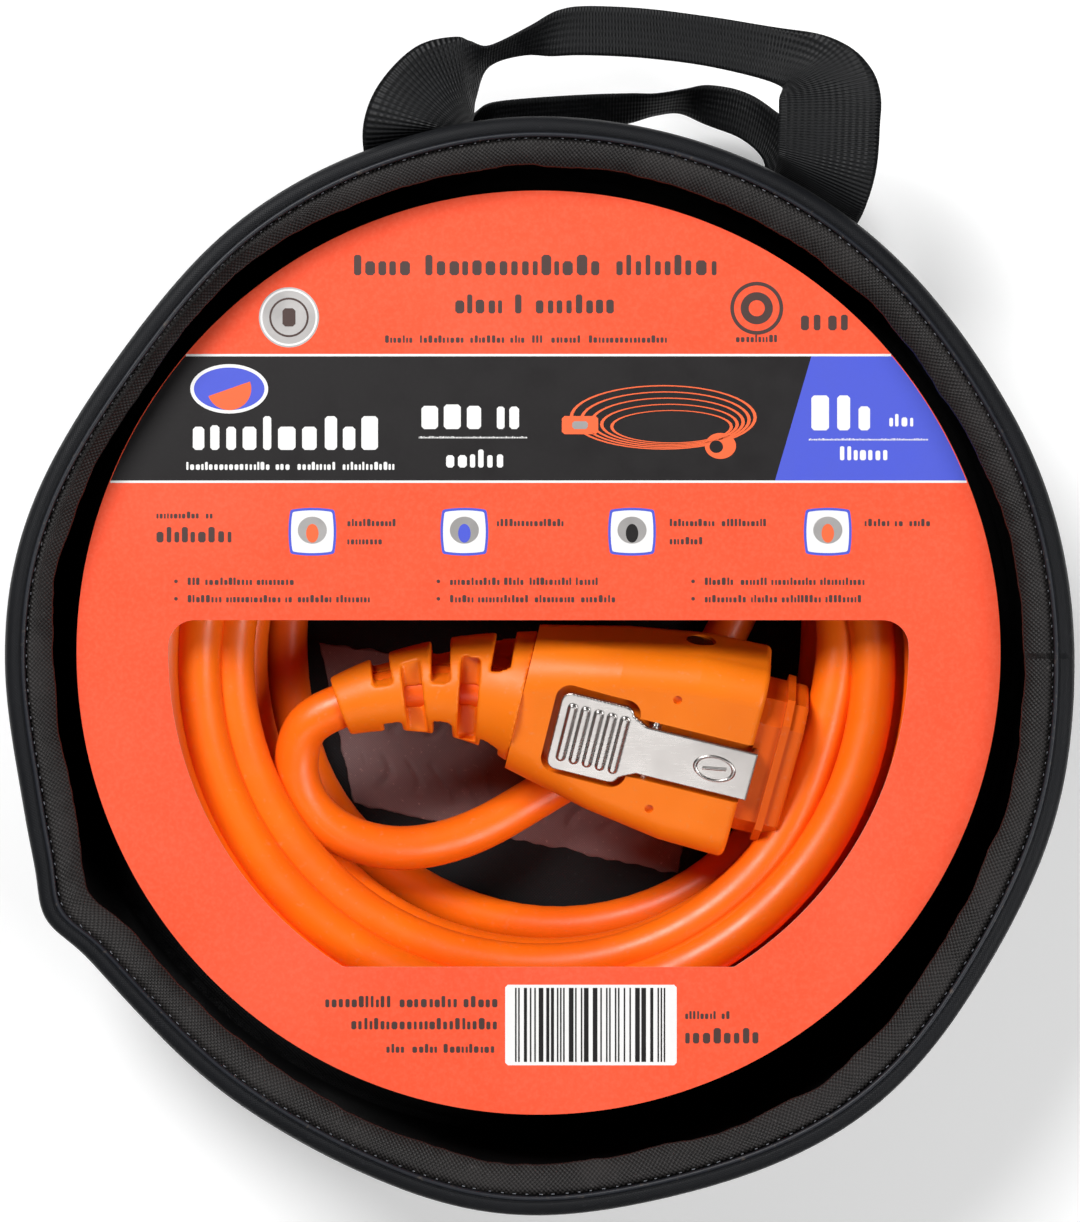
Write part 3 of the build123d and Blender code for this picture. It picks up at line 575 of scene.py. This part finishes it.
for j in range(oval_sides):
    b = math.pi * j / (oval_sides - 1)
    for end in (-1, 1):
        place = stamp_middle + lever_ahead * (end * 4.6) + lever_across * (0.75 * math.cos(b) + end * 0.8)
        points.append(tuple(place + lever_out * (0.5 * math.sin(b))))
faces = lattice(oval_steps, oval_sides, close_rows=True)
bar_start = oval_steps * oval_sides
faces += [(bar_start + 2 * j, bar_start + 2 * j + 1, bar_start + 2 * j + 3, bar_start + 2 * j + 2)
          for j in range(oval_sides - 1)]
build("lever_stamp", points, faces, steel_bright.material, "upper_lever")

# ---- The embroidery backing ----
# A piece of pinkish grey backing, cut by hand and left inside the floor under a mark stitched
# on the bag's outside: only the raised back of plain stitching shows.
backing_cloth = woven("backing_cloth", (0.27, 0.18, 0.175), (0.17, 0.11, 0.11), 1.0, 0.6, 0.1, 0.1)
near_left, near_right = (-76, -63), (57, -92)
far_left, far_right = (-90, 3), (72, -20)
on_floor = 2.05
rows, columns = 64, 200
points, cloth = [], []
for layer in (0, 1):
    for i in range(rows):
        for j in range(columns):
            s, t = j / (columns - 1), i / (rows - 1)
            x, y = ((1 - t) * ((1 - s) * a + s * b) + t * ((1 - s) * c + s * d)
                    for a, b, c, d in zip(near_left, near_right, far_left, far_right))
            edge = min(s, 1 - s, t, 1 - t)
            rough = noise.noise(Vector((x / 6, y / 6, 0)))
            if edge == 0:
                x += 1.2 * rough
                y += 1.2 * rough
            ridge = max(0, math.sin(s * 75 + 2.2 * math.sin(t * 13 + s * 9))) ** 2
            ridge *= 1 if (0.14 < t < 0.36 or 0.5 < t < 0.86) and 0.06 < s < 0.94 else 0
            top = 0.32 + 0.12 * rough + 0.8 * ridge * layer
            points.append((x, y, on_floor + (top if layer else 0)))
            cloth.append((x, y))
faces = lattice(rows, columns)
shift = rows * columns
faces = [tuple(reversed(f)) for f in faces] + [tuple(i + shift for i in f) for f in faces]
rim_loop = list(range(columns)) + [i * columns + columns - 1 for i in range(1, rows)]
rim_loop += [(rows - 1) * columns + j for j in range(columns - 2, -1, -1)]
rim_loop += [i * columns for i in range(rows - 2, 0, -1)]
for a, b in zip(rim_loop, rim_loop[1:] + rim_loop[:1]):
    faces.append((a, b, b + shift, a + shift))
backing = build("stitch_backing", points, faces, backing_cloth, "bag", cloth)
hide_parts("embroidery_backing")


# ---- The handles ----
# Two loops of 38 mm ribbed webbing, sewn up the outside of the wall. Between the ends each is
# folded in half lengthwise and stitched, which makes a narrow grip that has taken a twist.
webbing_finish = Finish("webbing", Sheen_Weight=0.02, Sheen_Roughness=0.35, Specular_IOR_Level=0.28)
u, v, _ = webbing_finish.parts(webbing_finish.cloth())
rib = webbing_finish.node("ShaderNodeMath", {"operation": "SINE"}, {0: u * (2 * math.pi / (1.25 * mm))})
cord_line = webbing_finish.node("ShaderNodeMath", {"operation": "SINE"}, {
    0: v * (2 * math.pi / (2.6 * mm))})
worn = webbing_finish.ramp(webbing_finish.specks(60, 4, 0.6), 0.42, 0.75)
lit = webbing_finish.ramp(rib, -0.5, 1.0)
webbing_finish.feed("Base Color", webbing_finish.mix(lit * 0.75 + 0.25 * worn, (0.0012, 0.0014, 0.0016),
                                                     (0.0085, 0.009, 0.0105)))
webbing_finish.feed("Roughness", 0.5 + 0.15 * worn)
webbing_finish.bump(rib * 0.6 + cord_line * 0.35, 0.00022, 0.9)
webbing = webbing_finish.material


def smooth_between(stations, fine):
    """Points eased through the stations, each a flat list of numbers."""
    made = []
    for i in range(len(stations) - 1):
        p0 = stations[max(i - 1, 0)]
        p1, p2 = stations[i], stations[i + 1]
        p3 = stations[min(i + 2, len(stations) - 1)]
        for k in range(fine + (i == len(stations) - 2)):
            t = k / fine
            made.append([0.5 * (2 * b + (c - a) * t + (2 * a - 5 * b + 4 * c - d) * t * t
                                + (3 * b - a - 3 * c + d) * t ** 3) for a, b, c, d in zip(p0, p1, p2, p3)])
    return made


def strap(name, stations, replaced):
    """A webbing ribbon: each station gives its middle, the way across it, its half width and its cup."""
    across_count = 13
    thickness = 1.6
    path = smooth_between(stations, 8)
    points, cloth = [], []
    run = 0
    for i, station in enumerate(path):
        middle = Vector(station[0:3])
        across = Vector(station[3:6]).normalized()
        half, cup = station[6], station[7]
        ahead = Vector(path[min(i + 1, len(path) - 1)][0:3]) - Vector(path[max(i - 1, 0)][0:3])
        face = across.cross(ahead).normalized()
        if i:
            run += (middle - Vector(path[i - 1][0:3])).length
        ring_points = []
        for side in (1, -1):
            for k in range(across_count):
                w = (1 - 2 * k / (across_count - 1)) * side
                edge = 1 - abs(w) ** 8
                lift = cup * (w * w - 0.4)
                away = side * thickness / 2 * (0.35 + 0.65 * edge) + lift
                p = middle + across * (half * w) + face * away
                ring_points.append((p, (run, half * w)))
        for p, c in ring_points:
            points.append(tuple(p))
            cloth.append(c)
    count = 2 * across_count
    faces = lattice(len(path), count, close_columns=True)
    faces.append(tuple(range(count - 1, -1, -1)))
    faces.append(tuple((len(path) - 1) * count + k for k in range(count)))
    made = build(name, points, faces, webbing, None, cloth)
    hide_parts(*replaced)
    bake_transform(made)


front = [
    (105.5, 172.6, 58, 0.85, -0.52, 0, 19, 0), (105.9, 173.4, 80, 0.85, -0.52, 0, 19, 0),
    (108.0, 178.5, 97, 0.88, -0.47, 0, 19, 0), (110.0, 188.0, 104, 0.96, -0.22, 0.05, 19, 0.5),
    (110.8, 200.0, 103, 1, -0.02, 0.08, 19.2, 1), (111.2, 211.0, 101, 1, 0.04, 0.1, 19.4, 1.5),
    (110.0, 218.5, 98, 0.96, 0.26, 0.15, 17.6, 2.2), (105.0, 225.0, 95, 0.8, 0.6, 0.2, 14.2, 2),
    (93.0, 229.0, 93, 0.2, 0.97, 0.2, 10.6, 1), (67.0, 234.5, 92, -0.08, 1, 0.15, 9.7, 0.5),
    (42.0, 238.0, 91, -0.06, 1, 0.2, 9.5, 0.4), (20.0, 239.3, 90, 0.0, 1, 0.25, 9.4, 0.4),
    (8.0, 238.6, 90, 0.1, 0.92, 0.4, 9.2, 0.4), (-4.0, 235.6, 91, 0.1, 0.5, 0.85, 8.6, 0.5),
    (-19.0, 229.4, 93, 0.05, 0.35, 0.93, 8.0, 0.8), (-26.0, 223.5, 95, -0.1, 0.9, 0.5, 12.0, 1.5),
    (-29.5, 219.2, 98, -0.22, 0.97, 0.12, 16.4, 2.0), (-36.5, 215.5, 101, -0.55, 0.83, 0.08, 18.6, 1.4),
    (-44.0, 207.5, 103, -0.85, 0.52, 0, 19, 0.8), (-47.6, 201.0, 102, -0.97, 0.12, 0, 19, 0.3),
    (-48.6, 196.8, 95, -0.967, -0.256, 0, 19, 0), (-48.6, 196.4, 82, -0.967, -0.256, 0, 19, 0),
    (-48.5, 196.2, 60, -0.967, -0.256, 0, 19, 0),
]
strap("front_webbing", front, ["front_handle", "front_handle_tabs"])
rear = [
    (105.5, 172.8, 8, 0.85, -0.52, 0, 19, 0), (105.6, 173.2, 22, 0.85, -0.52, 0, 19, 0),
    (104.5, 182.0, 30, 0.85, -0.4, 0, 18, 0), (101.0, 194.0, 33, 0.75, 0.3, 0.3, 14, 1),
    (94.0, 206.0, 33, 0.3, 0.85, 0.35, 10, 1.2), (83.0, 215.0, 31, 0.2, 0.95, 0.2, 9.0, 1),
    (69.0, 219.8, 29, 0.1, 0.8, 0.6, 9.0, 0.5), (58.0, 221.4, 28, 0.05, 0.4, 0.9, 9.0, 0.2),
    (47.0, 220.0, 28, 0, 0.35, 0.93, 9.0, 0), (36.0, 218.6, 28, 0, 0.55, 0.85, 9.0, 0.3),
    (20.0, 217.2, 28, 0, 0.65, 0.76, 9.2, 0.5), (0.0, 215.4, 28, 0, 0.7, 0.7, 9.4, 0.5),
    (-18.0, 213.0, 29, 0.1, 0.75, 0.65, 9.8, 0.8), (-33.0, 208.6, 32, 0.5, 0.4, 0.6, 13, 1.2),
    (-44.5, 202.0, 33, 0.9, 0.25, 0.3, 18, 0.6), (-48.8, 197.2, 24, 0.967, 0.256, 0, 19, 0),
    (-48.7, 196.4, 8, 0.967, 0.256, 0, 19, 0),
]
strap("rear_webbing", rear, ["rear_handle", "rear_handle_tabs"])

# ---- The display card ----
# A disc of thick board, die-cut with a D-shaped window and printed in matte orange-red, which
# lies on the cord. Its raw cut edge stays pale, and the board has bowed a little.
card_low, card_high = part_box("display_card")
card_r = 177.8
window_r, window_top, window_bottom = 142.5, 12.5, -121.0
window_corner = 10
board_top = card_high.z / mm
board_thick = (card_high.z - card_low.z) / mm


def bow(x, y):
    """The board's own slight warp, in millimetres."""
    return 0.35 * math.sin(x / 95 + 0.6) * math.cos(y / 120) - 0.3 * (x * x + y * y) / card_r ** 2


def window_reach(cx, cy, dx, dy):
    """How far the window's edge is from its middle, in one direction."""
    reach = 0.0
    step = 4.0
    while step > 0.01:
        x, y = cx + dx * (reach + step), cy + dy * (reach + step)
        if inside_window(x, y):
            reach += step
        else:
            step /= 2
    return reach


def inside_window(x, y):
    if not window_bottom < y < window_top or math.hypot(x, y) > window_r:
        return False
    corner_y = window_top - window_corner
    corner_x = math.sqrt((window_r - window_corner) ** 2 - corner_y ** 2)
    if y > corner_y and abs(x) > corner_x:
        return math.hypot(abs(x) - corner_x, y - corner_y) < window_corner
    return True


card_red = Finish("card_red", Specular_IOR_Level=0.2)
mottle = card_red.ramp(card_red.specks(55, 5, 0.65), 0.35, 0.7)
speckle = card_red.ramp(card_red.specks(650, 2), 0.4, 0.7)
rubbed = card_red.ramp(card_red.specks(14, 3), 0.5, 0.8)
red = card_red.mix(mottle * 0.5, (0.95, 0.096, 0.036), (0.87, 0.079, 0.028))
red = card_red.mix(speckle * 0.18, red, (1.0, 0.2, 0.12))
card_red.feed("Base Color", card_red.mix(rubbed * 0.25, red, (0.98, 0.17, 0.1)))
card_red.feed("Roughness", 0.55 + 0.12 * mottle)
card_red.bump(card_red.specks(480, 4, 0.7), 0.00008, 0.5)
cut_edge = moulded("card_edge", (0.72, 0.52, 0.44), (0.6, 0.42, 0.34), 0.8, 1500)

centre = (0.0, -54.0)
spokes, rings_out = 720, 14
points, cloth = [], []
for j in range(spokes):
    a = 2 * math.pi * j / spokes
    dx, dy = math.cos(a), math.sin(a)
    inner = window_reach(*centre, dx, dy)
    b = centre[0] * dx + centre[1] * dy
    outer = -b + math.sqrt(b * b - (centre[0] ** 2 + centre[1] ** 2 - card_r ** 2))
    for level in (0, 1):
        for k in range(rings_out):
            t = k / (rings_out - 1)
            if level:
                t = 1 - t
            r = inner + (outer - inner) * t
            x, y = centre[0] + dx * r, centre[1] + dy * r
            points.append((x, y, board_top + bow(x, y) - level * board_thick))
faces = lattice(spokes, 2 * rings_out, True, True)
card = build("card_board", points, faces, card_red.material, "card", smooth=False)
card.data.materials.append(cut_edge)
for polygon in card.data.polygons:
    if abs(polygon.normal.z) < 0.5:
        polygon.material_index = 1
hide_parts("display_card")


# ---- The card's printing ----
# Screen-printed layers: a black band with a blue end, pale rules, four picture squares, a
# silver seal, a bar panel and plain bars in the places of the words.
def printing(name, colour, gloss=0.5, **fixed):
    made = Finish(name, **fixed)
    patch = made.ramp(made.specks(70, 4, 0.6), 0.35, 0.75)
    grain = made.ramp(made.specks(700, 2), 0.45, 0.75)
    worn = tuple(c * 0.84 + 0.012 for c in colour)
    made.feed("Base Color", made.mix(patch * 0.3 + grain * 0.12, colour, worn))
    made.feed("Roughness", gloss + 0.12 * patch)
    made.bump(made.specks(480, 4, 0.7), 0.00006, 0.4)
    return made.material


ink = {
    "black": printing("ink_black", (0.007, 0.0055, 0.006), Specular_IOR_Level=0.3),
    "blue": printing("ink_blue", (0.06, 0.09, 0.62)),
    "white": printing("ink_white", (0.86, 0.85, 0.84)),
    "brown": printing("ink_brown", (0.055, 0.025, 0.02)),
    "orange": printing("ink_orange", (0.9, 0.13, 0.03)),
    "silver": printing("ink_silver", (0.55, 0.53, 0.52), 0.32, Metallic=0.6),
}
printed = {name: ([], []) for name in ink}


def lay(colour, outlines, level=1):
    """Print a strip given as pairs of points across it, thick enough to stand on the board."""
    points, faces = printed[colour]
    base = len(points)
    for a, b in outlines:
        for x, y in (a, b):
            points.append((x, y, board_top + bow(x, y) + 0.05 * level))
    for k in range(len(outlines) - 1):
        i = base + 2 * k
        faces.append((i, i + 2, i + 3, i + 1))


def bar(colour, x, y, width, height, level=1, lean=0.0):
    cut = min(width, height, 4) * 0.25
    lay(colour, [((x + s, y + e), (x + s, y + height - e)) for s, e in
                 ((0, cut), (cut, 0), (width / 2, 0), (width - cut, 0), (width, cut))], level)


def words(colour, x, y, height, lengths, gap=None, level=1):
    """A line of plain upright ticks, grouped as the words would be."""
    for length in lengths:
        end = x + length
        while x < end - 0.2 * height:
            wide = min(height * random.uniform(0.22, 0.5), end - x)
            tall = height * random.choice((0.66, 0.66, 0.7, 0.96))
            bar(colour, x, y, wide, tall, level)
            x += wide + height * random.uniform(0.14, 0.24)
        x = end + (gap or 0.8 * height)


def disc(colour, x, y, rx, ry=None, inner=0.0, level=1, start=0, end=360):
    ry = ry or rx
    lay(colour, [((x + rx * math.cos(a), y + ry * math.sin(a)),
                  (x + inner * rx * math.cos(a), y + inner * ry * math.sin(a)))
                 for a in (math.radians(start + (end - start) * k / 48) for k in range(49))], level)


def square(colour, x, y, half, corner, level):
    """A square with rounded corners."""
    ring_points = []
    for k in range(49):
        a = 2 * math.pi * k / 48
        c, s = math.cos(a), math.sin(a)
        px = (half - corner) * max(-1, min(1, 1.6 * c)) + corner * c
        py = (half - corner) * max(-1, min(1, 1.6 * s)) + corner * s
        ring_points.append(((x + px, y + py), (x, y)))
    lay(colour, ring_points, level)


def edge_x(y):
    """How far the printing goes to either side at a height on the card."""
    return math.sqrt(card_r ** 2 - y * y) - 0.4


random.seed(11)

# the black band, its slanted blue end and the pale rules above and below it
band_top, band_bottom = 114.0, 66.2
slant_top, slant_bottom = 105.0, 91.0
strip_count = 24
for colour, side in (("black", 0), ("blue", 1)):
    for k in range(strip_count):
        y0 = band_bottom + (band_top - band_bottom) * k / strip_count
        y1 = band_bottom + (band_top - band_bottom) * (k + 1) / strip_count
        cuts = []
        for y in (y0, y1):
            slant = slant_bottom + (slant_top - slant_bottom) * (y - band_bottom) / (band_top - band_bottom)
            cuts.append((-edge_x(y), slant) if side == 0 else (slant, edge_x(y)))
        lay(colour, [((cuts[0][0] + (cuts[0][1] - cuts[0][0]) * t / 12, y0),
                      (cuts[1][0] + (cuts[1][1] - cuts[1][0]) * t / 12, y1)) for t in range(13)])
for y in (band_top, band_bottom - 0.9):
    x0 = edge_x(y + 0.45)
    lay("white", [((-x0 + 2 * x0 * t / 24, y), (-x0 + 2 * x0 * t / 24, y + 0.9)) for t in range(25)])

# the heading, the seal on its left and the two round marks on its right
words("brown", -71, 145.2, 8.2, (22, 68, 41), 5.5)
words("brown", -32, 130.5, 7.6, (18, 3, 30), 5)
words("brown", -59, 119.2, 3.0, (11, 17, 13, 6, 5, 12, 30), 2.4)
disc("silver", -96, 129, 11.6)
disc("white", -96, 129, 11.0, inner=0.93, level=2)
disc("brown", -96, 129, 7.6, inner=0.9, level=2)
bar("brown", -98.5, 125.5, 5, 7, 2)
disc("brown", 84, 132.5, 10.2, inner=0.86)
disc("brown", 84, 132.5, 6.2, inner=0.5)
words("brown", 76, 119.4, 3.0, (16,))
words("brown", 101, 124, 8.6, (7.5, 7.5), 3)

# on the band: an oval mark over a heading, two panels of figures and a drawing of the cord
words("white", -133, 78.0, 13.5, (72,), level=2)
disc("white", -119, 101.5, 15, 9.5, level=2)
disc("blue", -119, 101.5, 13.6, 8.2, level=3)
disc("orange", -119, 101.5, 8.5, 8.2, level=4, start=200, end=380)
words("white", -135.5, 70.3, 3.2, (32, 6, 15, 21), 2.4, 2)
words("white", -45, 86, 13.5, (25,), level=2)
words("white", -16, 86, 9, (11,), level=2)
words("white", -46, 82.4, 0.9, (42,), level=2)
words("white", -35.5, 71.2, 7.2, (22,), level=2)
words("white", 105, 85.5, 14, (28,), level=2)
words("white", 135, 87, 5, (11,), level=2)
words("white", 104, 81.6, 0.9, (46,), level=2)
words("white", 116, 74, 5.6, (19,), level=2)
for k in range(5):
    disc("orange", 48 + 0.8 * k, 90.5 - 0.9 * k, 36 - 3.1 * k, 12.4 - 1.5 * k,
         inner=0.965 - 0.004 * k, level=2 + k)
bar("orange", 9, 84, 14, 7, 3)
bar("silver", 13, 86, 6, 3, 4)
disc("orange", 70, 79.5, 6, 5, level=4)
disc("black", 68.4, 79.2, 2.6, 2.4, level=5)

# under the band: the picture squares with their words, then three lists
words("brown", -147, 51.6, 2.8, (17, 3), 2)
words("brown", -147, 42.4, 6.2, (29,))
icon_places = ((-87, 46.5), (-28.5, 46.5), (36, 46.5), (111.3, 46.5))
for k, (x, y) in enumerate(icon_places):
    square("blue", x, y, 9.2, 3.2, 1)
    square("white", x, y, 8.2, 2.6, 2)
    disc("silver", x, y + 0.6, 5.6, 5.2, level=3)
    disc(("orange", "blue", "black", "orange")[k], x, y - 0.6, 2.4, 3.6, level=4)
words("brown", -73.5, 48.6, 3.0, (19.5,))
words("brown", -73.5, 41.6, 3.0, (14,))
words("brown", -16, 48.6, 3.0, (26.5,))
words("brown", 50.5, 48.6, 3.0, (18, 17), 2)
words("brown", 50.5, 41.6, 3.0, (13,))
words("brown", 125.5, 48.6, 3.0, (10, 4, 8), 1.6)
for x, lines in ((-137, ((5, 18, 15), (13, 21, 3, 13, 13))), (-36, ((19, 8, 16, 9), (9, 20, 16, 14))),
                 (62, ((12, 10, 17, 17), (16, 10, 15, 14)))):
    for y, row in zip((26, 19.3), lines):
        disc("brown", x - 2.5, y + 1.4, 0.7)
        words("brown", x + 2, y, 3.0, row, 1.8)

# at the foot: a panel of random bars between an address and a number
bar("white", -12.8, -158.8, 66, 31, 1)
random.seed(19)
x, bars_end = -9.0, 49
while x < bars_end:
    width = random.choice((0.6, 0.6, 1.2, 1.8))
    lay("black", [((x, -157.5), (x, -129)), ((x + width, -157.5), (x + width, -129))], 2)
    x += width + random.choice((0.6, 0.6, 1.1, 1.6))
words("brown", -82, -136.5, 4.6, (26, 22, 13), 2.6)
words("brown", -72, -145, 4.6, (56,))
words("brown", -58.5, -154, 3.6, (8, 10, 20), 2)
words("brown", 56.5, -141, 3.2, (12, 3), 2)
words("brown", 56.5, -150.4, 6.2, (29,))

for name, (points, faces) in printed.items():
    build("print_" + name, points, faces, ink[name], "card", smooth=False)

# ---- The floor it lies on ----
# Plain pale studio floor, wide enough for every view.
floor_finish = Finish("studio_floor", Roughness=0.8, Emission_Color=(1, 1, 1, 1), Emission_Strength=0.16)
floor_finish.feed("Base Color", floor_finish.mix(floor_finish.specks(3) * 0.1, (0.93, 0.93, 0.93),
                                                 (0.9, 0.9, 0.9)))
floor_mesh = bpy.data.meshes.new("studio_floor")
half, sunk = 6.0, -0.0005
floor_mesh.from_pydata([(-half, -half, sunk), (half, -half, sunk), (half, half, sunk), (-half, half, sunk)],
                       [], [(0, 1, 2, 3)])
floor_mesh.materials.append(floor_finish.material)
studio_floor = bpy.data.objects.new("studio_floor", floor_mesh)
bpy.context.collection.objects.link(studio_floor)
